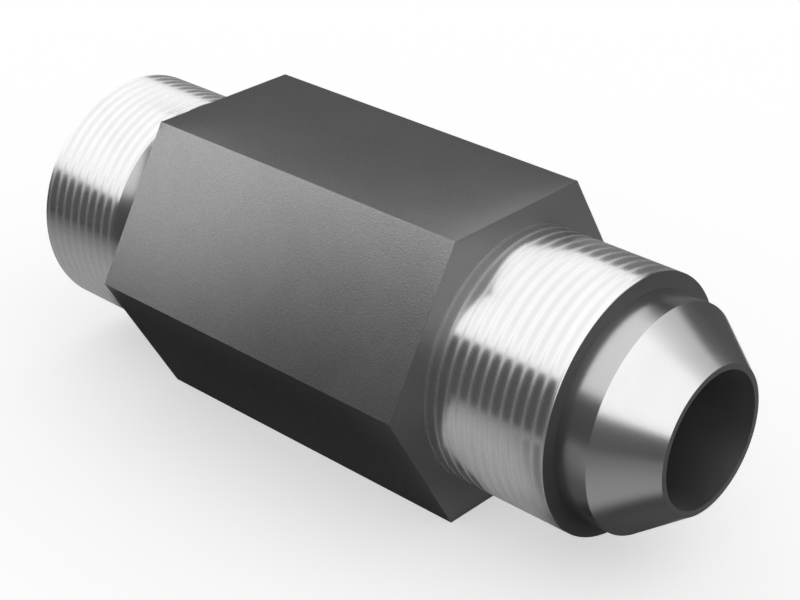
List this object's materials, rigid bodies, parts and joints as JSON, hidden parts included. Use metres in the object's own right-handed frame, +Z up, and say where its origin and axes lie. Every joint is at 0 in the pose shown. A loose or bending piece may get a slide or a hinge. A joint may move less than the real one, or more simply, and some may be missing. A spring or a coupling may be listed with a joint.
{
  "type": "straight adapter fitting",
  "caption": "Straight hydraulic adapter with a long wrench hexagon, a 37 degree flare end and a straight-thread port end, bored through.",
  "frame": {"origin": "on the bore's axis, in the plane of the hexagon's port-side face, the shoulder that seats on the port", "axes": "+X along the bore towards the flare nose, +Z up out of a hexagon flat, +Y through a hexagon corner; the part lies on the flat below"},
  "size_m": [0.0571, 0.0256, 0.0222],
  "materials": {
    "steel": "satin"
  },
  "bodies": {
    "root": {"adapter_body": "steel"}
  },
  "joints": []
}
